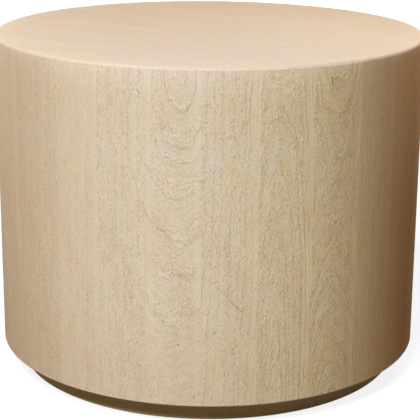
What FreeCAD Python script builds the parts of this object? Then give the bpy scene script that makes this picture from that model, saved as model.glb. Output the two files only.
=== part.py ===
import FreeCAD
import Part
import math
import os

# Round drum end table in solid wood, in millimetres, +Z up, origin on the floor under the middle.
# Bevelled staves with tongues and grooves are glued into a drum, which is then turned and rebated.
# The edge-glued board top is mitred into the rim, so that no end grain shows, and sits on a ledge inside it.
# A panel in a rebate at the foot closes the drum.
# The panel stands on a set-back plinth ring of doweled segments, with felt glides under it.

# Drum of staves
drum_diameter = 610.0
stave_length = 450.0
stave_count = 26
stave_thickness = 32.0
front_joint_angle = -91.7
tongue_thickness = 6.0
tongue_length = 6.0
tongue_wall = 5.0
joint_clearance = 0.1
rim_round = 4.0
foot_round = 2.5
foot_flat = 14.5
seat_clearance = 0.2

# Board top and the battens under it
top_thickness = 22.0
board_count = 7
board_angle = -40.0
board_tongue_thickness = 5.0
board_tongue_length = 6.0
batten_width = 45.0
batten_depth = 22.0
batten_spacing_share = 0.41
batten_end_gap = 6.0
batten_slot_travel = 3.0

# Base panel
base_thickness = 18.0

# Plinth ring and glides
plinth_height = 30.5
plinth_setback = 29.0
plinth_width = 30.0
plinth_segment_count = 8
plinth_edge_chamfer = 1.0
dowel_diameter = 8.0
dowel_length = 40.0
glide_diameter = 20.0
glide_height = 2.0
glide_inset = 8.0

# Screws: a bite is how far a point goes into what it holds, some as a share of its thickness
screw_clearance = 0.1
screw_point_length = 4.0
panel_screw_diameter = 4.0
panel_screw_head = 8.0
panel_screw_bite = 22.0
panel_screw_stave_step = 2
plinth_screw_diameter = 4.5
plinth_screw_head = 9.0
plinth_screw_sink = 6.0
plinth_screw_bite_share = 0.7
plinth_screw_angle_shares = (0.22, 0.78)
batten_screw_diameter = 4.0
batten_screw_head = 9.0
batten_screw_head_height = 2.5
batten_screw_bite_share = 0.6

# Length by which cutting shapes run past what they cut
overrun = 5.0

# Heights and radii that follow from the sizes above
drum_radius = drum_diameter / 2
drum_bottom = glide_height + plinth_height
drum_top = drum_bottom + stave_length
stave_inside = drum_radius - stave_thickness
stave_angle = 360.0 / stave_count
top_seat_radius = drum_radius - top_thickness
top_seat_height = drum_top - top_thickness
base_seat_radius = drum_radius - foot_round - foot_flat
base_seat_height = drum_bottom + base_thickness
plinth_radius = drum_radius - plinth_setback
plinth_inside = plinth_radius - plinth_width
plinth_middle = (plinth_radius + plinth_inside) / 2
glide_circle = plinth_radius - glide_inset - glide_diameter / 2
segment_angle = 360.0 / plinth_segment_count
panel_screw_radius = (stave_inside + base_seat_radius) / 2

up = FreeCAD.Vector(0, 0, 1)
origin = FreeCAD.Vector(0, 0, 0)


def at(x, y, z=0.0):
    return FreeCAD.Vector(x, y, z)


def polar(radius, angle, z=0.0):
    turn = math.radians(angle)
    return at(radius * math.cos(turn), radius * math.sin(turn), z)


def rotated(shape, angle):
    copy = shape.copy()
    copy.rotate(origin, up, angle)
    return copy


def line(start, end):
    return Part.LineSegment(start, end).toShape()


def arc(start, middle, end):
    return Part.Arc(start, middle, end).toShape()


def on_round(centre, radius, angle):
    turn = math.radians(angle)
    return centre + at(radius * math.cos(turn), 0, radius * math.sin(turn))


def round_edge(centre, radius, start_angle, end_angle):
    """Part of a rounded edge in the XZ plane."""
    middle_angle = (start_angle + end_angle) / 2
    return arc(*[on_round(centre, radius, angle) for angle in (start_angle, middle_angle, end_angle)])


def polyline(points):
    return [line(a, b) for a, b in zip(points, points[1:])]


def solid_of_revolution(edges):
    """Turns a closed outline in the XZ plane a full turn about Z, with its seam on the far side."""
    face = Part.Face(Part.Wire(edges))
    return rotated(face.revolve(origin, up, 360), 180)


def prism(edges, height):
    return Part.Face(Part.Wire(edges)).extrude(height)


def export(name, shape):
    shape.exportStep(os.path.join("parts", name + ".step"))


# Staves

rim_centre = at(drum_radius - rim_round, 0, drum_top - rim_round)
rim_arris = on_round(rim_centre, rim_round, 45)


def turned_drum():
    """The glued drum as turned: eased edges, a mitre and a ledge at the rim, and a rebate at the foot."""
    core = stave_inside - overrun
    foot_centre = at(drum_radius - foot_round, 0, drum_bottom + foot_round)
    inner_points = [
        rim_arris,
        at(top_seat_radius, 0, top_seat_height),
        at(core, 0, top_seat_height),
        at(core, 0, base_seat_height),
        at(base_seat_radius, 0, base_seat_height),
        at(base_seat_radius, 0, drum_bottom),
        at(foot_centre.x, 0, drum_bottom),
    ]
    edges = [round_edge(foot_centre, foot_round, -90, 0)]
    edges += [line(at(drum_radius, 0, foot_centre.z), at(drum_radius, 0, rim_centre.z))]
    edges += [round_edge(rim_centre, rim_round, 0, 45)]
    edges += polyline(inner_points)
    return solid_of_revolution(edges)


def stave_blank():
    """A stave about +X before turning: round outside, flat inside, a tongue and a groove on its bevels."""
    half = stave_angle / 2
    corner = stave_inside / math.cos(math.radians(half))
    tongue_inner = stave_inside + tongue_wall
    tongue_outer = tongue_inner + tongue_thickness
    tongue_reach = polar(1, 90 + half) * tongue_length
    groove_reach = polar(1, 90 - half) * (tongue_length + joint_clearance)
    tongue_side = [
        polar(drum_radius, half),
        polar(tongue_outer, half),
        polar(tongue_outer, half) + tongue_reach,
        polar(tongue_inner, half) + tongue_reach,
        polar(tongue_inner, half),
        polar(corner, half),
    ]
    groove_inner = tongue_inner - joint_clearance
    groove_outer = tongue_outer + joint_clearance
    groove_side = [
        polar(corner, -half),
        polar(groove_inner, -half),
        polar(groove_inner, -half) + groove_reach,
        polar(groove_outer, -half) + groove_reach,
        polar(groove_outer, -half),
        polar(drum_radius, -half),
    ]
    outside = arc(polar(drum_radius, -half), polar(drum_radius, 0), polar(drum_radius, half))
    edges = [outside] + polyline(tongue_side + groove_side)
    blank = prism(edges, up * stave_length)
    blank.translate(up * drum_bottom)
    return blank


def make_staves():
    plain = stave_blank().common(turned_drum())
    bore = Part.makeCylinder(
        panel_screw_diameter / 2 + screw_clearance,
        panel_screw_bite + screw_clearance,
        at(panel_screw_radius, 0, base_seat_height),
    )
    bored = plain.cut(bore)
    for index in range(stave_count):
        stave = plain if index % panel_screw_stave_step else bored
        angle = front_joint_angle + stave_angle * (index + 0.5)
        export(f"stave_{index + 1:02d}", rotated(stave, angle))


# Board top, made along X and then turned to its own angle

board_width = drum_diameter / board_count
batten_spacing = drum_diameter * batten_spacing_share
batten_reach = stave_inside - batten_end_gap
batten_corner = batten_spacing / 2 + batten_width / 2
batten_half = math.sqrt(batten_reach**2 - batten_corner**2)


def board_edge(index):
    return board_width * index - drum_radius


def top_disc():
    """The glued-up top as turned: flat on both faces, mitred edge, and its share of the rounded rim."""
    edges = polyline(
        [
            at(rim_centre.x, 0, drum_top),
            at(0, 0, drum_top),
            at(0, 0, top_seat_height),
            at(top_seat_radius, 0, top_seat_height),
            rim_arris,
        ]
    )
    edges += [round_edge(rim_centre, rim_round, 45, 90)]
    return solid_of_revolution(edges)


def batten_screw_places():
    """Where a screw goes up through a batten into the middle of each board that the batten crosses."""
    places = []
    for side in (-1, 1):
        for index in range(board_count):
            middle = board_edge(index + 0.5)
            if abs(middle) + batten_screw_head + batten_slot_travel < batten_half:
                places.append(at(side * batten_spacing / 2, middle, top_seat_height))
    return places


def top_board(index):
    """One board of the disc, with a tongue towards +Y and a groove towards -Y where it meets a neighbour."""
    low, high = board_edge(index), board_edge(index + 1)
    middle = top_seat_height + top_thickness / 2
    half_tongue = board_tongue_thickness / 2
    blank = Part.makeBox(drum_diameter, high - low, top_thickness, at(-drum_radius, low, top_seat_height))
    if index < board_count - 1:
        tongue = Part.makeBox(
            drum_diameter,
            board_tongue_length,
            board_tongue_thickness,
            at(-drum_radius, high, middle - half_tongue),
        )
        blank = blank.fuse(tongue).removeSplitter()
    if index > 0:
        groove = Part.makeBox(
            drum_diameter,
            board_tongue_length + joint_clearance,
            board_tongue_thickness + 2 * joint_clearance,
            at(-drum_radius, low, middle - half_tongue - joint_clearance),
        )
        blank = blank.cut(groove)
    board = blank.common(top_disc())
    bite = top_thickness * batten_screw_bite_share
    for place in batten_screw_places():
        if low < place.y < high:
            radius = batten_screw_diameter / 2 + screw_clearance
            board = board.cut(Part.makeCylinder(radius, bite + screw_clearance, place))
    return board


def slot(place, radius, travel, depth):
    """A slotted hole through depth below place, its travel along Y each way."""
    left, right = at(-radius, 0), at(radius, 0)
    far, near = at(0, travel), at(0, -travel)
    edges = [
        line(right + near, right + far),
        arc(right + far, far + at(0, radius), left + far),
        line(left + far, left + near),
        arc(left + near, near - at(0, radius), right + near),
    ]
    cutter = prism(edges, up * (depth + 2 * overrun))
    cutter.translate(place - up * (depth + overrun))
    return cutter


def batten(side):
    blank = Part.makeBox(
        batten_width,
        2 * batten_half,
        batten_depth,
        at(side * batten_spacing / 2 - batten_width / 2, -batten_half, top_seat_height - batten_depth),
    )
    for place in batten_screw_places():
        if place.x * side > 0:
            radius = batten_screw_diameter / 2 + screw_clearance
            blank = blank.cut(slot(place, radius, batten_slot_travel, batten_depth))
    return blank


def pan_head_screw(foot, diameter, head, head_height, length):
    """A screw that points up, with its head's flat seat at foot."""
    edges = polyline(
        [
            at(0, 0, -head_height),
            at(head / 2 - head_height / 2, 0, -head_height),
            at(head / 2, 0, -head_height / 2),
            at(head / 2, 0, 0),
            at(diameter / 2, 0, 0),
            at(diameter / 2, 0, length - screw_point_length),
            at(0, 0, length),
            at(0, 0, -head_height),
        ]
    )
    screw = solid_of_revolution(edges)
    screw.translate(foot)
    return screw


def make_top():
    for index in range(board_count):
        export(f"top_board_{index + 1}", rotated(top_board(index), board_angle))
    for number, side in enumerate((-1, 1), start=1):
        export(f"top_batten_{number}", rotated(batten(side), board_angle))
    length = batten_depth + top_thickness * batten_screw_bite_share
    screws = [
        pan_head_screw(
            place - up * batten_depth,
            batten_screw_diameter,
            batten_screw_head,
            batten_screw_head_height,
            length,
        )
        for place in batten_screw_places()
    ]
    export("batten_screws", rotated(Part.makeCompound(screws), board_angle))


# Base panel, plinth and their screws

def countersunk_screw(foot, diameter, head, length):
    """A screw that points up, with the flat of its countersunk head at foot."""
    head_height = (head - diameter) / 2
    edges = polyline(
        [
            at(0, 0, 0),
            at(head / 2, 0, 0),
            at(diameter / 2, 0, head_height),
            at(diameter / 2, 0, length - screw_point_length),
            at(0, 0, length),
            at(0, 0, 0),
        ]
    )
    screw = solid_of_revolution(edges)
    screw.translate(foot)
    return screw


def countersunk_hole(foot, diameter, head, sink, depth):
    """The hole for such a screw: a counterbore up to foot, the countersink above it, then a straight bore."""
    wide = head / 2 + screw_clearance
    narrow = diameter / 2 + screw_clearance
    head_height = (head - diameter) / 2
    edges = polyline(
        [
            at(0, 0, -sink - overrun),
            at(wide, 0, -sink - overrun),
            at(wide, 0, 0),
            at(narrow, 0, head_height),
            at(narrow, 0, depth),
            at(0, 0, depth),
            at(0, 0, -sink - overrun),
        ]
    )
    hole = solid_of_revolution(edges)
    hole.translate(foot)
    return hole


def panel_screw_feet():
    middles = range(0, stave_count, panel_screw_stave_step)
    return [
        polar(panel_screw_radius, front_joint_angle + stave_angle * (index + 0.5), drum_bottom)
        for index in middles
    ]


def plinth_screw_feet(segment):
    angles = [segment_angle * (segment + share) for share in plinth_screw_angle_shares]
    return [polar(plinth_middle, angle, glide_height + plinth_screw_sink) for angle in angles]


plinth_screw_bite = base_thickness * plinth_screw_bite_share
plinth_screw_length = plinth_height - plinth_screw_sink + plinth_screw_bite


def base_panel():
    panel = Part.makeCylinder(base_seat_radius - seat_clearance, base_thickness, up * drum_bottom)
    holes = [
        countersunk_hole(foot, panel_screw_diameter, panel_screw_head, 0, base_thickness + overrun)
        for foot in panel_screw_feet()
    ]
    for segment in range(plinth_segment_count):
        for foot in plinth_screw_feet(segment):
            radius = plinth_screw_diameter / 2 + screw_clearance
            pilot = at(foot.x, foot.y, drum_bottom - overrun)
            holes.append(Part.makeCylinder(radius, overrun + plinth_screw_bite + screw_clearance, pilot))
    return panel.cut(Part.makeCompound(holes))


def plinth_section():
    edges = polyline(
        [
            at(plinth_inside, 0, glide_height),
            at(plinth_radius - plinth_edge_chamfer, 0, glide_height),
            at(plinth_radius, 0, glide_height + plinth_edge_chamfer),
            at(plinth_radius, 0, drum_bottom),
            at(plinth_inside, 0, drum_bottom),
            at(plinth_inside, 0, glide_height),
        ]
    )
    return Part.Face(Part.Wire(edges))


def dowel(segment, radius, length):
    """A dowel across the joint at the start of a segment, half way up the plinth."""
    angle = segment_angle * segment
    along = polar(1, angle + 90)
    middle = polar(plinth_middle, angle, glide_height + plinth_height / 2)
    return Part.makeCylinder(radius, length, middle - along * (length / 2), along)


def plinth_segment(segment):
    piece = plinth_section().revolve(origin, up, segment_angle)
    piece = rotated(piece, segment_angle * segment)
    bore = dowel_diameter / 2 + joint_clearance
    cutters = [dowel(end, bore, dowel_length + 2 * joint_clearance) for end in (segment, segment + 1)]
    cutters += [
        countersunk_hole(foot, plinth_screw_diameter, plinth_screw_head, plinth_screw_sink, plinth_height)
        for foot in plinth_screw_feet(segment)
    ]
    return piece.cut(Part.makeCompound(cutters))


def glide(segment):
    middle = polar(glide_circle, segment_angle * (segment + 0.5))
    return Part.makeCylinder(glide_diameter / 2, glide_height, middle)


def make_base():
    segments = range(plinth_segment_count)
    export("base_panel", base_panel())
    panel_screws = [
        countersunk_screw(foot, panel_screw_diameter, panel_screw_head, base_thickness + panel_screw_bite)
        for foot in panel_screw_feet()
    ]
    export("base_panel_screws", Part.makeCompound(panel_screws))
    for segment in segments:
        export(f"plinth_segment_{segment + 1}", plinth_segment(segment))
    plinth_screws = [
        countersunk_screw(foot, plinth_screw_diameter, plinth_screw_head, plinth_screw_length)
        for segment in segments
        for foot in plinth_screw_feet(segment)
    ]
    export("plinth_screws", Part.makeCompound(plinth_screws))
    dowels = [dowel(segment, dowel_diameter / 2, dowel_length) for segment in segments]
    export("plinth_dowels", Part.makeCompound(dowels))
    export("felt_glides", Part.makeCompound([glide(segment) for segment in segments]))


os.makedirs("parts", exist_ok=True)
make_staves()
make_top()
make_base()
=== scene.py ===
import math
import random
from collections import namedtuple

import bmesh
import bpy
from mathutils import Matrix, Vector


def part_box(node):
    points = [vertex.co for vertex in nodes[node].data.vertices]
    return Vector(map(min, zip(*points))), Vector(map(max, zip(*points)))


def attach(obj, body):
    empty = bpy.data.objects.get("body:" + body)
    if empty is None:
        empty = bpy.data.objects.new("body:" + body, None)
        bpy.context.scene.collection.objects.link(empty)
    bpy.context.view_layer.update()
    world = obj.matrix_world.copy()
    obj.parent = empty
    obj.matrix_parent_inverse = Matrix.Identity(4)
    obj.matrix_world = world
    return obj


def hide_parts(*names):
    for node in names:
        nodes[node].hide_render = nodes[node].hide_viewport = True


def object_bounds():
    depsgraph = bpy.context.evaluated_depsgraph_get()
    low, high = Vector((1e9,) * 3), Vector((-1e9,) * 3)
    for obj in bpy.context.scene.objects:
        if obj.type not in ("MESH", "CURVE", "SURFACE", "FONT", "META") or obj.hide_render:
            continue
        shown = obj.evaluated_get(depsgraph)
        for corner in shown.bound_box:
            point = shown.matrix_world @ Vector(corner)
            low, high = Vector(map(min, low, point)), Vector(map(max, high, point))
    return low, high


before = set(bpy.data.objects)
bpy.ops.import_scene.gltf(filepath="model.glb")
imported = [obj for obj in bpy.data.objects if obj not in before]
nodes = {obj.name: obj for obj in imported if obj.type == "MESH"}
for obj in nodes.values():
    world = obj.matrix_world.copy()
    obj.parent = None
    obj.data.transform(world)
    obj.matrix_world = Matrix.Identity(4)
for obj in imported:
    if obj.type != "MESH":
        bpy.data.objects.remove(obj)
cad_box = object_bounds()

# Drum wall: staves of solid mango, bevelled, tongued and grooved, glued up round and turned smooth.
# The wood was brushed, bleached and washed pale under a matt lacquer, so every stave still shows its own
# cut of the log: arches where the saw ran along the rings, fine lines on the quarter, and open pores.

MM = 0.001
up = Vector((0, 0, 1))
wall_low, wall_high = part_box("stave_01")
drum_radius = cad_box[1].x
drum_bottom, drum_top = wall_low.z, wall_high.z
stave_names = sorted(n for n in nodes if n.startswith("stave_"))
stave_turn = 2 * math.pi / len(stave_names)
front_joint = math.radians(-91.7)
stave_half_width = drum_radius / MM * math.tan(stave_turn / 2)

# How a board lies in its log, in mm and degrees: where the pith is behind the middle of the face, how it
# leans out towards the top and slants, its bow over 100 mm, and how far apart the growth rings are
Log = namedtuple("Log", "depth side lean slant bow ring")
# What a board shows at one point: its place on the board and in the log, both in mm, its distance from the
# pith, the thin dark edges of the growth rings, and the broad zone before each edge, where pores crowd
Wood = namedtuple("Wood", "board bent radius rings zone")
# How a board looks: strength of its rings, raised grain and pores, and smooth paler bands as
# (place across, half width) in mm
Cut = namedtuple("Cut", "log figure grain pores bands")
# A split, scratch or pin hole: its place on the board, width and length in mm, tilt in degrees, and depth
Mark = namedtuple("Mark", "across along width length tilt depth")


def outward_at(angle):
    """The level direction out of the drum at an angle round it."""
    return Vector((math.cos(angle), math.sin(angle), 0))


def srgb(code):
    """A six-digit sRGB hex colour as linear RGBA."""
    parts = [int(code[i : i + 2], 16) / 255 for i in (0, 2, 4)]
    return [c / 12.92 if c <= 0.04045 else ((c + 0.055) / 1.055) ** 2.4 for c in parts] + [1.0]


def add(tree, kind, inputs=(), stops=(), output=0, **settings):
    """Adds a shader node and returns one output. Inputs are values or outputs, by socket name or number."""
    node = tree.nodes.new("ShaderNode" + kind)
    for name, value in settings.items():
        setattr(node, name, value)
    for key, value in dict(inputs).items():
        if isinstance(value, bpy.types.NodeSocket):
            tree.links.new(value, node.inputs[key])
        else:
            node.inputs[key].default_value = value
    for place, level in stops:
        node.color_ramp.elements.new(place).color = (level, level, level, 1)
    if stops:
        node.color_ramp.elements.remove(node.color_ramp.elements[0])
        node.color_ramp.elements.remove(node.color_ramp.elements[-1])
    return node.outputs[output]


def new_material(name):
    """A new material with its node tree, its shader, and the place of the shaded point in metres."""
    material = bpy.data.materials.new(name)
    material.use_nodes = True
    tree = material.node_tree
    place = tree.nodes.new("ShaderNodeTexCoord").outputs["Object"]
    return material, tree, tree.nodes["Principled BSDF"], place


def finish_shader(tree, shader, colour, roughness, bump, constants):
    """Links what varies over the surface to the shader, and sets the constants on its own sockets."""
    for socket, link in (("Base Color", colour), ("Roughness", roughness), ("Normal", bump)):
        tree.links.new(link, shader.inputs[socket])
    for socket, value in constants.items():
        shader.inputs[socket].default_value = value


def dress(name, material):
    """Gives a CAD node its only material."""
    nodes[name].data.materials.clear()
    nodes[name].data.materials.append(material)


def board_frame(face_middle, normal, grain):
    """Rotation and shift that bring a place in metres to (outward, across, along the grain) in mm."""
    turn = Matrix((normal, grain.cross(normal), grain))
    return turn, -(turn @ face_middle) / MM


def streaks(tree, place, width, length, detail=2, output=0):
    """Noise drawn out along the grain, its cells of the given width and length in mm."""
    cells = add(tree, "VectorMath", {0: place, 1: (1 / width, 1 / width, 1 / length)}, operation="MULTIPLY")
    noise = {"Vector": cells, "Scale": 1, "Detail": detail, "Roughness": 0.58}
    return add(tree, "TexNoise", noise, output=output)


def growth(tree, place, turn, shift, log):
    """The wood that a board shows, from how it lies in its log."""
    scale = (1 / MM, 1 / MM, 1 / MM)
    board = add(tree, "Mapping", {0: place, 1: shift, 2: turn.to_euler(), 3: scale})
    slant = Matrix.Rotation(math.radians(log.slant), 3, "X")
    tilt = slant @ Matrix.Rotation(math.radians(-log.lean), 3, "Y")
    log_shift = tilt @ (shift - Vector((-log.depth, log.side, 0)))
    straight = add(tree, "Mapping", {0: place, 1: log_shift, 2: (tilt @ turn).to_euler(), 3: scale})
    along = add(tree, "SeparateXYZ", {0: board}, output="Z")
    bow = add(tree, "Math", {0: along, 1: along}, operation="MULTIPLY")
    bow = add(tree, "Math", {0: bow, 1: log.bow / 100**2}, operation="MULTIPLY")
    bow = add(tree, "CombineXYZ", {0: bow})
    wander = streaks(tree, board, 36, 90, 5, "Color")
    wander_reach = (13, 13, 0)
    wander = add(tree, "VectorMath", {0: wander, 1: wander_reach, 2: bow}, operation="MULTIPLY_ADD")
    bent = add(tree, "VectorMath", {0: straight, 1: wander}, operation="ADD")
    flat = add(tree, "VectorMath", {0: bent, 1: (1, 1, 0)}, operation="MULTIPLY")
    radius = add(tree, "VectorMath", {0: flat}, operation="LENGTH", output="Value")
    count = add(tree, "Math", {0: radius, 1: log.ring}, operation="DIVIDE")
    uneven = add(tree, "TexNoise", {"W": count, "Scale": 0.4, "Detail": 1}, noise_dimensions="1D")
    count = add(tree, "Math", {0: uneven, 1: 2.5, 2: count}, operation="MULTIPLY_ADD")
    phase = add(tree, "Math", {0: count}, operation="FRACT")
    zone = add(tree, "ValToRGB", {0: phase}, stops=((0, 0.3), (0.35, 0), (0.85, 1), (1, 0.3)))
    rings = 0.0
    edge_stops = (0, 0), (0.86, 0.06), (0.945, 1), (0.985, 0.2), (1, 0)
    for lines_each, weight in ((1, 1.0), (3, 0.4)):
        lines = add(tree, "Math", {0: count, 1: lines_each}, operation="MULTIPLY")
        phase = add(tree, "Math", {0: lines}, operation="FRACT")
        which = add(tree, "Math", {0: lines}, operation="FLOOR")
        chance = add(tree, "TexWhiteNoise", {"W": which}, noise_dimensions="1D")
        edge = add(tree, "ValToRGB", {0: phase}, stops=edge_stops)
        edge = add(tree, "Math", {0: edge, 1: chance}, operation="MULTIPLY")
        rings = add(tree, "Math", {0: edge, 1: weight, 2: rings}, operation="MULTIPLY_ADD")
    return Wood(board, bent, radius, rings, zone)


def near_edge(tree, place, radius, height, reach):
    """1 on a turned edge of that radius and height and 0 beyond its reach, all in metres."""
    flat = add(tree, "VectorMath", {0: place, 1: (1, 1, 0)}, operation="MULTIPLY")
    out = add(tree, "VectorMath", {0: flat}, operation="LENGTH", output="Value")
    rise = add(tree, "SeparateXYZ", {0: place}, output="Z")
    section = add(tree, "CombineXYZ", {0: out, 2: rise})
    edge = {0: section, 1: (radius, 0, height)}
    distance = add(tree, "VectorMath", edge, operation="DISTANCE", output="Value")
    return add(tree, "MapRange", {0: distance, 1: reach, 2: 0}, interpolation_type="SMOOTHSTEP")


def sapwood(tree, across, streak, bands):
    """1 in the smooth paler bands along a board, which have ragged edges, and 0 beside them."""
    rag = 14
    ragged = add(tree, "Math", {0: streak, 1: rag, 2: across}, operation="MULTIPLY_ADD")
    calm = 0.0
    for middle, half in bands:
        off = add(tree, "Math", {0: ragged, 1: middle + rag / 2}, operation="SUBTRACT")
        off = add(tree, "Math", {0: off}, operation="ABSOLUTE")
        band = add(tree, "MapRange", {0: off, 1: half + 3, 2: half - 4}, interpolation_type="SMOOTHSTEP")
        calm = add(tree, "Math", {0: band, 1: calm}, operation="MAXIMUM")
    return calm


def pores(tree, bent, crowd):
    """The open pores and those that the wash has filled; crowd is the share of all pores that shows.

    Vessels are about 0.3 mm wide on the real wood. They are drawn about 1 mm wide so that they show.
    """
    spacing, length = 1.8, 7
    cells = (1 / spacing, 1 / spacing, 1 / length)
    vessel = add(tree, "VectorMath", {0: bent, 1: cells}, operation="MULTIPLY")
    cell = add(tree, "TexVoronoi", {"Vector": vessel, "Scale": 1}, output="Color")
    chance = add(tree, "SeparateColor", {0: cell})
    size = add(tree, "Math", {0: chance.node.outputs["Blue"], 1: 0.3, 2: 0.18}, operation="MULTIPLY_ADD")
    inside = {0: cell.node.outputs["Distance"], 1: size, 2: 0.08}
    inside = add(tree, "MapRange", inside, interpolation_type="SMOOTHSTEP")
    shown = add(tree, "Math", {0: chance, 1: crowd}, operation="LESS_THAN")
    shown = add(tree, "Math", {0: inside, 1: shown}, operation="MULTIPLY")
    open_share = 0.68
    filled = {0: chance.node.outputs["Green"], 1: open_share}
    filled = add(tree, "Math", filled, operation="GREATER_THAN")
    filled = add(tree, "Math", {0: shown, 1: filled}, operation="MULTIPLY")
    return add(tree, "Math", {0: shown, 1: filled}, operation="SUBTRACT"), filled


def mark_spot(tree, board, mark):
    """1 in the middle of a mark and 0 beyond its outline."""
    spot = {
        0: board,
        1: (0, mark.across, mark.along),
        2: (math.radians(mark.tilt), 0, 0),
        3: (1 / MM, mark.width / 2, mark.length / 2),
    }
    spot = add(tree, "Mapping", spot, vector_type="TEXTURE")
    spot = add(tree, "VectorMath", {0: spot}, operation="LENGTH", output="Value")
    return add(tree, "MapRange", {0: spot, 1: 1.0, 2: 0.5}, interpolation_type="SMOOTHSTEP")


def add_swings(tree, total, parts):
    """The total with each part's swing round one half added, times its amount."""
    for part, amount in parts:
        swing = add(tree, "Math", {0: part, 1: 0.5}, operation="SUBTRACT")
        total = add(tree, "Math", {0: swing, 1: amount, 2: total}, operation="MULTIPLY_ADD")
    return total


def washed_mango(name, turn, shift, cut, half_width, tones, marks=()):
    """Brushed, bleached mango: a grey-cream ground with thin ring lines, raised fibres and limed pores."""
    material, tree, shader, place = new_material(name)
    wood = growth(tree, place, turn, shift, cut.log)
    across = add(tree, "SeparateXYZ", {0: wood.board}, output="Y")
    along = across.node.outputs["Z"]

    # Fibres raised by the brush, some 1.5 mm wide where they show, laps that follow the rings,
    # and broader streaks and clouds of the wash
    fleck = streaks(tree, wood.bent, 1.9, 3.4)
    around = add(tree, "CombineXYZ", {0: wood.radius, 1: across, 2: along})
    around = add(tree, "VectorMath", {0: around, 1: (1 / 1.4, 1 / 20, 1 / 16)}, operation="MULTIPLY")
    lap = add(tree, "TexNoise", {"Vector": around, "Scale": 1, "Detail": 3})
    streak = streaks(tree, wood.board, 11, 240)
    wash = streaks(tree, wood.board, 45, 80, 3, "Color")
    cloud = wash.node.outputs[0]

    # The grain stands up less in the sapwood, and most in the zone where pores crowd
    calm = sapwood(tree, across, streak, cut.bands)
    rough = add(tree, "MapRange", {0: calm, 3: cut.grain, 4: 0.6 * cut.grain})
    lively = add(tree, "Math", {0: wood.zone, 1: 0.7, 2: 0.72}, operation="MULTIPLY_ADD")
    rough = add(tree, "Math", {0: rough, 1: lively}, operation="MULTIPLY")
    crowd = cut.pores - 0.8
    for part, amount in ((cloud, 1.6), (wood.zone, 0.5), (calm, -0.5)):
        crowd = add(tree, "Math", {0: part, 1: amount, 2: crowd}, operation="MULTIPLY_ADD")
    open_pores, filled_pores = pores(tree, wood.bent, crowd)

    # Ring lines, broken by the fibres and faded out in places
    broken = add(tree, "Math", {0: fleck, 1: 1.6, 2: 0.1}, operation="MULTIPLY_ADD")
    broken = add(tree, "Math", {0: wood.rings, 1: broken}, operation="MULTIPLY")
    clear = add(tree, "MapRange", {0: streaks(tree, wood.board, 30, 45), 1: 0.38, 2: 0.6})
    broken = add(tree, "Math", {0: broken, 1: clear}, operation="MULTIPLY")

    # Shade: 0 is the palest wood and 1 the brownest, about half way on the whole
    fine = add_swings(tree, 0.0, ((fleck, 2.45), (lap, 1.3)))
    shade = add(tree, "Math", {0: fine, 1: rough, 2: 0.45}, operation="MULTIPLY_ADD")
    broad = (streak, 0.35 + 0.2 * cut.grain), (cloud, 0.45 + 0.25 * cut.grain)
    shade = add_swings(tree, shade, broad)
    shade = add(tree, "Math", {0: broken, 1: cut.figure, 2: shade}, operation="MULTIPLY_ADD")
    shade = add(tree, "Math", {0: calm, 1: -0.13, 2: shade}, operation="MULTIPLY_ADD", use_clamp=True)
    pale, brown = (1.12, 1.12, 1.13, 1), (0.87, 0.845, 0.80, 1)
    shade = add(tree, "Mix", {0: shade, 6: pale, 7: brown}, data_type="RGBA", output=2)

    # The wash lies unevenly in patches, and in streaks from warm to cool
    uneven = Vector((0.16, 0.06, 0.16))
    tinge = Vector((-0.06 - 0.04 * cut.grain, 0, 0.15 + 0.11 * cut.grain))
    even = Vector((1, 1, 1)) - uneven / 2 - tinge / 2
    tint = {0: streaks(tree, wood.board, 10, 70, 3), 1: tinge, 2: even}
    tint = add(tree, "VectorMath", tint, operation="MULTIPLY_ADD")
    wash = add(tree, "VectorMath", {0: wash, 1: uneven, 2: tint}, operation="MULTIPLY_ADD")

    # The ground drifts from one side of the board to the other, and painted light makes it a tone lighter
    # near the rim
    side = add(tree, "MapRange", {0: across, 1: -half_width, 2: half_width})
    ground = add(tree, "Mix", {0: side, 6: tones[0], 7: tones[1]}, data_type="RGBA", output=2)
    # Painted light: a tone lighter within 50 mm of the rim
    rim_light_mask = near_edge(tree, place, drum_radius, drum_top, 50 * MM)
    rim_light_gain = 1 + 0.09 * cut.grain
    for share, factor in ((1, shade), (1, wash), (rim_light_mask, (rim_light_gain, rim_light_gain, rim_light_gain, 1))):
        product = {0: share, 6: ground, 7: factor}
        ground = add(tree, "Mix", product, data_type="RGBA", blend_type="MULTIPLY", output=2)

    # Relief: fibres and laps stand up, and ring lines are brushed out
    relief = add(tree, "Math", {0: fleck, 1: 0.65, 2: lap}, operation="MULTIPLY_ADD")
    relief = add(tree, "Math", {0: relief, 1: rough}, operation="MULTIPLY")
    relief = add(tree, "Math", {0: broken, 1: -0.9 * cut.figure, 2: relief}, operation="MULTIPLY_ADD")

    # What lies over the ground, as (mask, amount, colour, rise): pores and marks of use
    covers = [(open_pores, 0.25, "7d6647", -0.7), (filled_pores, 0.24, "efe6d6", -0.3)]
    for mark in marks:
        covers.append((mark_spot(tree, wood.board, mark), mark.depth, "5e4a31", -2 * mark.depth))
    # Painted light near the rim, painted shade on its turn and towards the foot, the lower edge rubbed pale
    for height, reach, amount, colour in (
        # Painted light, paler near the rim
        (drum_top, 16, 0.25 * cut.grain, "e6dcd2"),
        # Painted shade on the rim's turn, which tones down its highlight
        (drum_top, 5, 0.4, "c9ae98"),
        # Painted shade, darker towards the foot
        (drum_bottom, 160, 0.12, "a5835a"),
        (drum_bottom, 5, 0.3, "efe4d6"),
    ):
        covers.append((near_edge(tree, place, drum_radius, height, reach * MM), amount, colour, 0))
    for mask, amount, colour, rise in covers:
        share = add(tree, "Math", {0: mask, 1: amount}, operation="MULTIPLY")
        ground = add(tree, "Mix", {0: share, 6: ground, 7: srgb(colour)}, data_type="RGBA", output=2)
        if rise:
            relief = add(tree, "Math", {0: mask, 1: rise, 2: relief}, operation="MULTIPLY_ADD")

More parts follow.
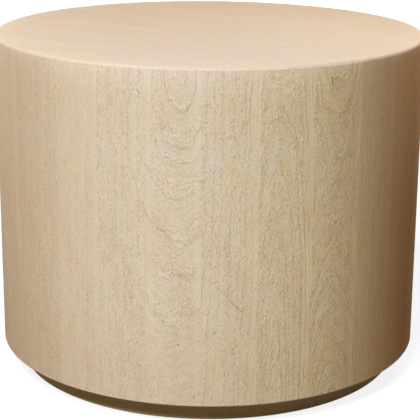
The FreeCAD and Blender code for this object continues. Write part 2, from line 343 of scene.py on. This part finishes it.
    # Matt lacquer over the raised grain
    gloss = add(tree, "MapRange", {0: lap, 3: 0.7, 4: 0.86})
    bump = add(tree, "Bump", {"Strength": 0.9, "Distance": 0.6 * MM, "Height": relief})
    finish_shader(tree, shader, ground, gloss, bump, {"IOR": 1.5, "Specular IOR Level": 0.1})
    return material


# Each stave in view is cut as it looks. The names count to the right from the joint at the front.
# The others come from anywhere in the pile.
seen_cuts = {
    "stave_21": Cut(Log(60, -90, 2, 0.5, 0, 9), 0.30, 0.65, 0.30, ()),
    "stave_22": Cut(Log(50, 80, -3, 0.4, 0, 10), 0.30, 0.60, 0.30, ((30, 8),)),
    "stave_23": Cut(Log(60, -60, 4, 0.3, 1, 10), 0.30, 0.70, 0.30, ()),
    "stave_24": Cut(Log(70, -100, 1, 0.2, 0, 8), 0.30, 0.90, 0.35, ((2, 24),)),
    "stave_25": Cut(Log(26, 105, 0.5, 0.4, 0.5, 10), 0.60, 0.88, 0.55, ((-31, 5),)),
    "stave_26": Cut(Log(73, 13, 15.3, 1.0, -4.2, 13), 1.00, 0.88, 0.45, ((-31, 5), (31, 5))),
    "stave_01": Cut(Log(50, -95, 0.6, 1.2, 0.5, 9), 0.50, 0.85, 0.50, ((31, 6),)),
    "stave_02": Cut(Log(13, -4, -5.2, 0.6, 0, 6), 0.75, 1.08, 0.65, ((31, 7),)),
    "stave_03": Cut(Log(46, 4, -3.6, -0.6, -6, 7), 0.60, 1.15, 0.60, ((31, 6),)),
    "stave_04": Cut(Log(30, 95, 1, 0.3, 0, 8), 0.40, 0.50, 0.35, ((28, 6),)),
    "stave_05": Cut(Log(50, -70, 2, 0.4, 0, 9), 0.30, 0.50, 0.30, ()),
    "stave_06": Cut(Log(45, 60, -4, 0.3, 1, 10), 0.30, 0.50, 0.30, ()),
}
# Pin holes, a scratch in two strokes, and a short split under the rim
seen_marks = {
    "stave_26": (Mark(7.5, -138, 2.2, 2.6, 0, 0.6), Mark(0.5, -40, 1.8, 2.2, 0, 0.5)),
    "stave_01": (Mark(-9, -66, 1.8, 96, 47, 0.17), Mark(9, -86, 2.4, 44, 47, 0.24)),
    "stave_03": (Mark(-12.5, 203, 1.8, 14, 2, 0.6),),
}
# The tone drifts gently round the drum, by joints counted from the front: limed there, honey on the right
# The drift is partly the wash's own and partly painted shade, darker and warmer towards both sides in view
limed, straw, honey, sand, tan = "d5c5ae", "d4c09c", "a37649", "d0bba0", "c6ad92"
wall_tone_and_shade = (
    (0, limed), (2.2, straw), (4.8, honey), (11, sand),
    (18, sand), (22, tan), (24.5, limed), (26, limed),
)
log_pile = random.Random(26)


def tone_at(drift, joint):
    """The colour at one joint, between the two steps of the drift that it lies between."""
    for (start, first), (end, last) in zip(drift, drift[1:]):
        if start <= joint <= end:
            share = (joint - start) / (end - start)
            return [a + (b - a) * share for a, b in zip(srgb(first), srgb(last))]


def any_cut():
    """A stave from somewhere in the pile."""
    depth, side = log_pile.uniform(25, 80), log_pile.uniform(-90, 90)
    lean, slant, bow = log_pile.uniform(-9, 9), log_pile.uniform(-1, 1), log_pile.uniform(-2.5, 2.5)
    log = Log(depth, side, lean, slant, bow, log_pile.uniform(7, 13))
    figure, grain = log_pile.uniform(0.25, 0.6), log_pile.uniform(0.6, 1.05)
    crowding = log_pile.uniform(0.28, 0.55)
    bands = ()
    if log_pile.random() < 0.6:
        bands = ((log_pile.choice((-28, 28)), log_pile.uniform(6, 12)),)
    return Cut(log, figure, grain, crowding, bands)


for index, name in enumerate(stave_names):
    outward = outward_at(front_joint + stave_turn * (index + 0.5))
    face_middle = outward * drum_radius + up * (drum_bottom + drum_top) / 2
    turn, shift = board_frame(face_middle, outward, up)
    cut = seen_cuts.get(name) or any_cut()
    # Its tones come from the drift, with its painted shade towards the sides in view
    tones = tone_at(wall_tone_and_shade, index), tone_at(wall_tone_and_shade, index + 1)
    marks = seen_marks.get(name, ())
    dress(name, washed_mango("washed_mango_" + name, turn, shift, cut, stave_half_width, tones, marks))

# Top: edge-glued boards of the same wood, mitred into the rim so that no end grain shows.
# They run on the slant to the front, and were sanded smoother and washed warmer than the wall.

board_names = sorted(n for n in nodes if n.startswith("top_board_"))
board_angle = math.radians(-40)
board_run = Vector((math.cos(board_angle), math.sin(board_angle), 0))
board_across = up.cross(board_run)
board_width = 2 * drum_radius / len(board_names)
board_logs = (
    Log(60, 70, 1, 0.4, 0, 9),
    Log(45, -40, 3, 0.3, 0.5, 10),
    Log(60, 60, -2, 0.5, 0, 9),
    Log(40, 15, 4, -0.4, 0.5, 11),
    Log(70, -80, 1, 0.2, 0, 9),
    Log(50, 45, -3, 0.3, 0.5, 10),
    Log(60, -70, 2, 0.4, 0, 9),
)
# The tone drifts by joints here too, counted from the front left. A board's own frame runs against the count.
# Partly the wash's own, and partly painted shade: darker and browner towards the back right, against the back
# lamp's sheen
top_tone_and_shade = (0, "dac5ad"), (2, "d4bca5"), (5, "d0b394"), (7, "c5a47c")
for index, name in enumerate(board_names):
    face_middle = board_across * (board_width * (index + 0.5) - drum_radius) + up * drum_top
    turn, shift = board_frame(face_middle, up, board_run)
    cut = Cut(board_logs[index], figure=0.2, grain=0.3, pores=0.12, bands=())
    # Its tones from the drift, with its painted shade towards the back right
    tones = tone_at(top_tone_and_shade, index + 1), tone_at(top_tone_and_shade, index)
    dress(name, washed_mango("washed_mango_" + name, turn, shift, cut, board_width / 2 / MM, tones))

# Battens: two planed lengths of spruce across the boards, under the top, to keep it flat.
# Their screws run in slots, so that the boards can move with the seasons.


def planed_spruce(name, turn, shift, log):
    """Spruce off the planer: pale cream early wood and narrow amber late wood, silky and bare."""
    material, tree, shader, place = new_material(name)
    wood = growth(tree, place, turn, shift, log)
    fibre = streaks(tree, wood.bent, 0.8, 30, 3)
    shade = add(tree, "Math", {0: fibre, 1: 0.35, 2: wood.rings}, operation="MULTIPLY_ADD", use_clamp=True)
    colour = {0: shade, 6: srgb("e3c795"), 7: srgb("b9854c")}
    colour = add(tree, "Mix", colour, data_type="RGBA", output=2)
    gloss = add(tree, "MapRange", {0: wood.rings, 3: 0.62, 4: 0.5})
    bump = add(tree, "Bump", {"Strength": 0.5, "Distance": 0.2 * MM, "Height": shade})
    finish_shader(tree, shader, colour, gloss, bump, {"IOR": 1.5, "Specular IOR Level": 0.3})
    return material


for number in (1, 2):
    name = f"top_batten_{number}"
    low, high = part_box(name)
    face_middle = (low + high) / 2
    face_middle.z = low.z
    turn, shift = board_frame(face_middle, -up, board_across)
    log = Log(depth=35, side=12 * number, lean=0.8, slant=0.3, bow=0, ring=3.2)
    dress(name, planed_spruce("planed_spruce_" + name, turn, shift, log))

# Screws: zinc-plated steel wood screws with cross recesses, threaded to the head, all driven upwards.
# Pan heads hold the battens, and countersunk heads the base panel and the plinth.

# The head's radii and heights from its face to its neck, then the thread, all in mm
Screw = namedtuple("Screw", "head diameter length pitch")
pan_head = (3.2, -2.5), (4.1, -2.1), (4.5, -1.2), (4.5, 0), (2, 0)
batten_screw = Screw(pan_head, 4, 35.2, 1.8)
base_screw = Screw(((4, 0), (3.9, 0.2), (2, 2)), 4, 40, 1.8)
plinth_screw = Screw(((4.5, 0), (4.4, 0.2), (2.25, 2.25)), 4.5, 37.1, 2)

# Where they go: the battens' distance from the middle, the circles of the others, and the height and
# shares of a segment at which the plinth's are sunk
batten_offset = 0.205 * 2 * drum_radius
base_screw_circle = 280.5 * MM
segment_names = sorted(n for n in nodes if n.startswith("plinth_segment_"))
segment_turn = 2 * math.pi / len(segment_names)
plinth_low, plinth_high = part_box("plinth_segment_1")
plinth_radius = plinth_high.x
plinth_circle = plinth_radius - 15 * MM
plinth_screw_height = 8 * MM
plinth_screw_shares = 0.22, 0.78


def ring(bm, lie, height, radius_at, count):
    """Vertices round an axis in mm; radius_at gives the radius for each share of the turn."""
    vertices = []
    for step in range(count):
        share = step / count
        radius, angle = radius_at(share), 2 * math.pi * share
        place = Vector((radius * math.cos(angle), radius * math.sin(angle), height))
        vertices.append(bm.verts.new(lie @ (place * MM)))
    return vertices


def skin(bm, rings):
    """Faces between each ring and the next."""
    for near, far in zip(rings, rings[1:]):
        for step in range(len(near)):
            after = (step + 1) % len(near)
            bm.faces.new((near[step], near[after], far[after], far[step]))


def stand_for(bm, name, node, material):
    """Makes the mesh a piece that stands for a CAD node."""
    bmesh.ops.recalc_face_normals(bm, faces=bm.faces)
    mesh = bpy.data.meshes.new(name)
    bm.to_mesh(mesh)
    bm.free()
    mesh.polygons.foreach_set("use_smooth", [True] * len(mesh.polygons))
    mesh.set_sharp_from_angle(angle=math.radians(32))
    mesh.materials.append(material)
    piece = bpy.data.objects.new(name, mesh)
    bpy.context.scene.collection.objects.link(piece)
    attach(piece, "root")
    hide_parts(node)


def cross_recess(bm, lie, rim, reach, depth):
    """The face of a head inside its rim, with a cross sunk into it."""
    arm, floor_share = 0.3 * reach, 0.45
    corners = [(reach, arm), (arm, arm), (arm, reach), (-arm, reach), (-arm, arm), (-reach, arm)]
    corners += [(-x, -y) for x, y in corners]
    height = (lie.inverted() @ rim[0].co).z / MM
    mouth, floor = [
        [bm.verts.new(lie @ (Vector((x * share, y * share, height + sink)) * MM)) for x, y in corners]
        for share, sink in ((1, 0), (floor_share, depth))
    ]
    edges = []
    for loop in (rim, mouth):
        for pair in zip(loop, loop[1:] + loop[:1]):
            edges.append(bm.edges.get(pair) or bm.edges.new(pair))
    bmesh.ops.triangle_fill(bm, edges=edges, use_beauty=True)
    skin(bm, [mouth, floor])
    bm.faces.new(floor)


def wood_screw(bm, middle, screw):
    """A screw driven upwards, with the face of its neck at the middle."""
    lie = Matrix.Translation(middle)
    facets, rings_each_turn = 16, 4
    diameter, length, pitch = screw.diameter, screw.length, screw.pitch
    core = 0.38 * diameter
    rings = [ring(bm, lie, height, lambda share: radius, facets) for radius, height in screw.head]
    neck = screw.head[-1][1]
    steps = math.ceil((length - neck) / pitch * rings_each_turn)
    for step in range(1, steps):
        height = neck + (length - neck) * step / steps
        taper = min(1, (length - height) / diameter)

        def thread(share):
            crest = 1 - abs(2 * ((height / pitch - share) % 1) - 1)
            return taper * (core + (diameter / 2 - core) * max(0, 2 * crest - 1))

        rings.append(ring(bm, lie, height, thread, facets))
    skin(bm, rings)
    tip = bm.verts.new(lie @ (up * length * MM))
    for step in range(facets):
        bm.faces.new((rings[-1][step], rings[-1][(step + 1) % facets], tip))
    face_radius = screw.head[0][0]
    cross_recess(bm, lie, rings[0], 0.55 * face_radius, 0.55 * diameter)


def zinc_plated_steel():
    """Bright zinc over drawn steel: a grey mirror dulled by handling, with a faint straw tint."""
    material, tree, shader, place = new_material("zinc_plated_steel")
    blooms_each_metre = 700
    bloom = add(tree, "TexNoise", {"Vector": place, "Scale": blooms_each_metre, "Detail": 4})
    colour = {0: bloom, 6: srgb("cfcdc6"), 7: srgb("b9b19c")}
    colour = add(tree, "Mix", colour, data_type="RGBA", output=2)
    gloss = add(tree, "MapRange", {0: bloom, 3: 0.25, 4: 0.48})
    bump = add(tree, "Bump", {"Strength": 0.3, "Distance": 0.03 * MM, "Height": bloom})
    finish_shader(tree, shader, colour, gloss, bump, {"Metallic": 1})
    return material


screws = {"batten_screws": bmesh.new(), "base_panel_screws": bmesh.new(), "plinth_screws": bmesh.new()}
batten_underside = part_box("top_batten_1")[0].z
for side in (-1, 1):
    for index in range(1, len(board_names) - 1):
        middle = board_run * side * batten_offset + up * batten_underside
        middle += board_across * (board_width * (index + 0.5) - drum_radius)
        wood_screw(screws["batten_screws"], middle, batten_screw)
for index in range(0, len(stave_names), 2):
    outward = outward_at(front_joint + stave_turn * (index + 0.5))
    wood_screw(screws["base_panel_screws"], outward * base_screw_circle + up * drum_bottom, base_screw)
for segment in range(len(segment_names)):
    for share in plinth_screw_shares:
        outward = outward_at(segment_turn * (segment + share))
        wood_screw(screws["plinth_screws"], outward * plinth_circle + up * plinth_screw_height, plinth_screw)
steel = zinc_plated_steel()
for node, bm in screws.items():
    stand_for(bm, "cross_head_" + node, node, steel)

# Base panel: birch plywood let into a rebate at the foot of the wall and screwed up into the staves.
# Its lower face is bare sanded veneer, peeled round the log, so its figure is broad and wanders.


def birch_plywood(name):
    """Rotary-cut birch veneer: pale honey with broad faint flame figure and short fine pores."""
    material, tree, shader, place = new_material(name)
    turn, shift = board_frame(up * drum_bottom, -up, Vector((1, 0, 0)))
    board = add(tree, "Mapping", {0: place, 1: shift, 2: turn.to_euler(), 3: (1 / MM, 1 / MM, 1 / MM)})
    hills = streaks(tree, board, 70, 330, 3)
    rings_cut = 16
    bands = add(tree, "Math", {0: hills, 1: rings_cut}, operation="MULTIPLY")
    bands = add(tree, "Math", {0: bands}, operation="FRACT")
    bands = add(tree, "ValToRGB", {0: bands}, stops=((0, 0.1), (0.5, 0.35), (0.86, 0.9), (1, 0.1)))
    fibre = streaks(tree, board, 1.2, 14, 3)
    shade = add(tree, "Math", {0: fibre, 1: 0.9, 2: -0.25}, operation="MULTIPLY_ADD")
    shade = add(tree, "Math", {0: bands, 1: 0.3, 2: shade}, operation="MULTIPLY_ADD", use_clamp=True)
    colour = {0: shade, 6: srgb("e2c9a0"), 7: srgb("bf9763")}
    colour = add(tree, "Mix", colour, data_type="RGBA", output=2)
    gloss = add(tree, "MapRange", {0: fibre, 3: 0.58, 4: 0.72})
    bump = add(tree, "Bump", {"Strength": 0.5, "Distance": 0.15 * MM, "Height": fibre})
    finish_shader(tree, shader, colour, gloss, bump, {"IOR": 1.5, "Specular IOR Level": 0.3})
    return material


dress("base_panel", birch_plywood("birch_plywood"))

# Plinth: eight segments of a plain hardwood, sawn to the curve, doweled end to end, and stained brown
# before it was screwed up under the base panel. It stands well back in the drum's shadow.


def brown_stained_hardwood(name, turn, shift, log):
    """Plain hardwood under a brown stain: even and matt, darker in the pores, thin on the lower edge."""
    material, tree, shader, place = new_material(name)
    wood = growth(tree, place, turn, shift, log)
    fibre = streaks(tree, wood.bent, 1.6, 26, 3)
    cloud = streaks(tree, wood.board, 25, 90)
    shade = add(tree, "Math", {0: wood.rings, 1: 0.3, 2: -0.05}, operation="MULTIPLY_ADD")
    shade = add(tree, "Math", {0: fibre, 1: 0.6, 2: shade}, operation="MULTIPLY_ADD")
    shade = add(tree, "Math", {0: cloud, 1: 0.5, 2: shade}, operation="MULTIPLY_ADD", use_clamp=True)
    colour = {0: shade, 6: srgb("c3ad8c"), 7: srgb("a28d6e")}
    colour = add(tree, "Mix", colour, data_type="RGBA", output=2)
    for reach, amount in ((4, 0.4), (14, 0.1)):
        worn = near_edge(tree, place, plinth_radius, plinth_low.z, reach * MM)
        worn = add(tree, "Math", {0: worn, 1: amount}, operation="MULTIPLY")
        colour = add(tree, "Mix", {0: worn, 6: colour, 7: srgb("d0bd9a")}, data_type="RGBA", output=2)
    gloss = add(tree, "MapRange", {0: fibre, 3: 0.52, 4: 0.7})
    bump = add(tree, "Bump", {"Strength": 0.6, "Distance": 0.25 * MM, "Height": fibre})
    finish_shader(tree, shader, colour, gloss, bump, {"IOR": 1.5, "Specular IOR Level": 0.15})
    return material


plinth_middle = (plinth_low.z + plinth_high.z) / 2
for segment, name in enumerate(segment_names):
    outward = outward_at(segment_turn * (segment + 0.5))
    face_middle = outward * plinth_radius + up * plinth_middle
    turn, shift = board_frame(face_middle, outward, up.cross(outward))
    log = Log(log_pile.uniform(20, 70), log_pile.uniform(-60, 60), log_pile.uniform(-3, 3), 0.5, 0, 7)
    dress(name, brown_stained_hardwood("brown_stained_" + name, turn, shift, log))

# Dowels: pegs of beech, fluted so that spare glue can escape, with chamfered ends.
# One is glued across each joint of the plinth, half in either segment.

dowel_length, dowel_radius, end_radius, chamfer = 40, 4, 3.1, 1.5
flutes, flute_depth = 20, 0.25


def fluted(share):
    """The radius round the body of a dowel, where every second point lies in a flute."""
    return dowel_radius - flute_depth * (round(share * 2 * flutes) % 2)


def plain(share):
    """The radius round either end of a dowel."""
    return end_radius


def turned_beech(name):
    """Bare beech: pinkish tan, with short dark rays along the grain."""
    material, tree, shader, place = new_material(name)
    cells = add(tree, "VectorMath", {0: place, 1: (1 / MM, 1 / MM, 1 / MM)}, operation="MULTIPLY")
    ray = streaks(tree, cells, 2.5, 0.8, 3)
    colour = {0: ray, 6: srgb("dcb88c"), 7: srgb("b98a5c")}
    colour = add(tree, "Mix", colour, data_type="RGBA", output=2)
    gloss = add(tree, "MapRange", {0: ray, 3: 0.55, 4: 0.7})
    bump = add(tree, "Bump", {"Strength": 0.4, "Distance": 0.1 * MM, "Height": ray})
    finish_shader(tree, shader, colour, gloss, bump, {"IOR": 1.5, "Specular IOR Level": 0.3})
    return material


dowels = bmesh.new()
dowel_end, shoulder = dowel_length / 2, dowel_length / 2 - chamfer
for segment in range(len(segment_names)):
    outward = outward_at(segment_turn * segment)
    middle = outward * plinth_circle + up * plinth_middle
    lie = Matrix.Translation(middle) @ up.cross(outward).to_track_quat("Z", "Y").to_matrix().to_4x4()
    rows = (-dowel_end, plain), (-shoulder, fluted), (shoulder, fluted), (dowel_end, plain)
    rings = [ring(dowels, lie, height, radius_at, 2 * flutes) for height, radius_at in rows]
    skin(dowels, rings)
    dowels.faces.new(rings[0])
    dowels.faces.new(rings[-1])
stand_for(dowels, "fluted_dowels", "plinth_dowels", turned_beech("bare_beech"))

# Glides: thin discs punched from pressed wool felt, soft at the lower edge.
# One is glued under the middle of each segment of the plinth, out of sight, to spare the floor.

# Radii and heights of a disc from its lower face to its upper one, and how far its fibres stray, in mm
felt_rows = (8.2, 0), (9.2, 0.15), (9.8, 0.6), (10, 1.1), (9.9, 1.7), (9.7, 2)
stray = 0.25
felt_sides = 40
glide_circle = plinth_radius - 18 * MM


def pressed_felt(name):
    """Dark wool felt: no shine, a fuzzy surface of tangled fibres and paler lint."""
    material, tree, shader, place = new_material(name)
    cells = add(tree, "VectorMath", {0: place, 1: (1 / MM, 1 / MM, 1 / MM)}, operation="MULTIPLY")
    tangle = streaks(tree, cells, 0.8, 0.8, 5)
    colour = {0: tangle, 6: srgb("2f2823"), 7: srgb("6a5d51")}
    colour = add(tree, "Mix", colour, data_type="RGBA", output=2)
    gloss = add(tree, "MapRange", {0: tangle, 3: 0.9, 4: 1.0})
    bump = add(tree, "Bump", {"Strength": 1.0, "Distance": 0.3 * MM, "Height": tangle})
    constants = {"IOR": 1.5, "Specular IOR Level": 0.1, "Sheen Weight": 0.4, "Sheen Roughness": 0.5}
    finish_shader(tree, shader, colour, gloss, bump, constants)
    return material


felt = bmesh.new()
lint = random.Random(8)
for segment in range(len(segment_names)):
    lie = Matrix.Translation(outward_at(segment_turn * (segment + 0.5)) * glide_circle)
    rings = [
        ring(felt, lie, height, lambda share: radius - lint.uniform(0, stray), felt_sides)
        for radius, height in felt_rows
    ]
    skin(felt, rings)
    felt.faces.new(rings[0])
    felt.faces.new(rings[-1])
stand_for(felt, "felt_discs", "felt_glides", pressed_felt("pressed_felt"))

# Studio: a pale floor that runs out of view, a large soft lamp at the front left, a weaker one behind,
# a small card of light close to each side, and a dim room.
# The floor is white to the eye, and to the bounced light it is a wooden floor's brown.

floor_mesh = bpy.data.meshes.new("floor")
reach = 12.0
corners = [(-reach, -reach, 0), (reach, -reach, 0), (reach, reach, 0), (-reach, reach, 0)]
floor_mesh.from_pydata(corners, [], [(0, 1, 2, 3)])
floor = bpy.data.objects.new("floor", floor_mesh)
bpy.context.scene.collection.objects.link(floor)
material, tree, shader, _ = new_material("white_floor")
tree.nodes.remove(shader)


def seen_rays(tree):
    """1 for what is seen directly, in metal or through glass, and 0 for bounced light."""
    path = tree.nodes.new("ShaderNodeLightPath").outputs
    seen = add(tree, "Math", {0: path["Is Camera Ray"], 1: path["Is Glossy Ray"]}, operation="MAXIMUM")
    return add(tree, "Math", {0: seen, 1: path["Is Transmission Ray"]}, operation="MAXIMUM")


# White to the eye: mostly glow, with a little grey that takes the shadow
shadowed = add(tree, "BsdfDiffuse", {"Color": (0.18, 0.18, 0.18, 1)})
glow = add(tree, "Emission", {"Color": (1, 1, 1, 1), "Strength": 0.86})
white = add(tree, "AddShader", {0: shadowed, 1: glow})
bounce = add(tree, "BsdfDiffuse", {"Color": srgb("97866b")})
surface = add(tree, "MixShader", {0: seen_rays(tree), 1: bounce, 2: white})
tree.links.new(surface, tree.nodes["Material Output"].inputs["Surface"])
floor_mesh.materials.append(material)

world = bpy.data.worlds.new("studio")
bpy.context.scene.world = world
world.use_nodes = True
tree = world.node_tree
room = add(tree, "Background", {"Color": srgb("3a2b1e"), "Strength": 1})
backdrop = add(tree, "Background", {"Color": (1, 1, 1, 1), "Strength": 1})
sky = add(tree, "MixShader", {0: seen_rays(tree), 1: room, 2: backdrop})
tree.links.new(sky, tree.nodes["World Output"].inputs["Surface"])

# Each lamp's turn to the right from the front and height above level in degrees, its distance and size in
# metres, and its power in watts
lamp_tint = srgb("f6fbff")[:3]
for name, side, height, distance, size, power in (
    ("softbox_front", -21, 48, 7.0, 2.2, 645),
    ("softbox_back", 168, 7, 4.0, 1.2, 130),
    ("card_left", -90, 27, 0.6, 0.2, 0.34),
    ("card_right", 80, 28, 0.56, 0.2, 0.25),
):
    lamp = bpy.data.lights.new(name, "AREA")
    lamp.size = size
    lamp.energy = power
    lamp.color = lamp_tint
    lamp_object = bpy.data.objects.new(name, lamp)
    bpy.context.scene.collection.objects.link(lamp_object)
    level = Matrix.Rotation(math.radians(side), 3, "Z") @ Vector((0, -1, 0))
    toward = level * math.cos(math.radians(height)) + up * math.sin(math.radians(height))
    lamp_object.location = toward * distance + up * (drum_bottom + drum_top) / 2
    lamp_object.rotation_euler = toward.to_track_quat("Z", "Y").to_euler()

# Camera: a long lens about two metres in front of the table and a little above it, tipped and rolled as in
# the photo. Its place and angles were solved on the outlines of the drum, its top and its plinth.

photo_pixels = 420
focal_pixels = 1406.7
camera_distance, camera_height = 2.0053, 0.7962
pitch, yaw, roll = 0.28272, 0.00102, 0.00774
camera = bpy.data.cameras.new("camera")
camera.sensor_width = 36
camera.lens = camera.sensor_width * focal_pixels / photo_pixels
camera_object = bpy.data.objects.new("camera", camera)
bpy.context.scene.collection.objects.link(camera_object)
camera_object.location = (0, -camera_distance, camera_height)
look = Matrix.Rotation(-yaw, 3, "Z") @ Matrix.Rotation(math.pi / 2 - pitch, 3, "X")
camera_object.rotation_euler = (look @ Matrix.Rotation(roll, 3, "Z")).to_euler()
bpy.context.scene.camera = camera_object
bpy.context.scene.view_settings.view_transform = "Standard"
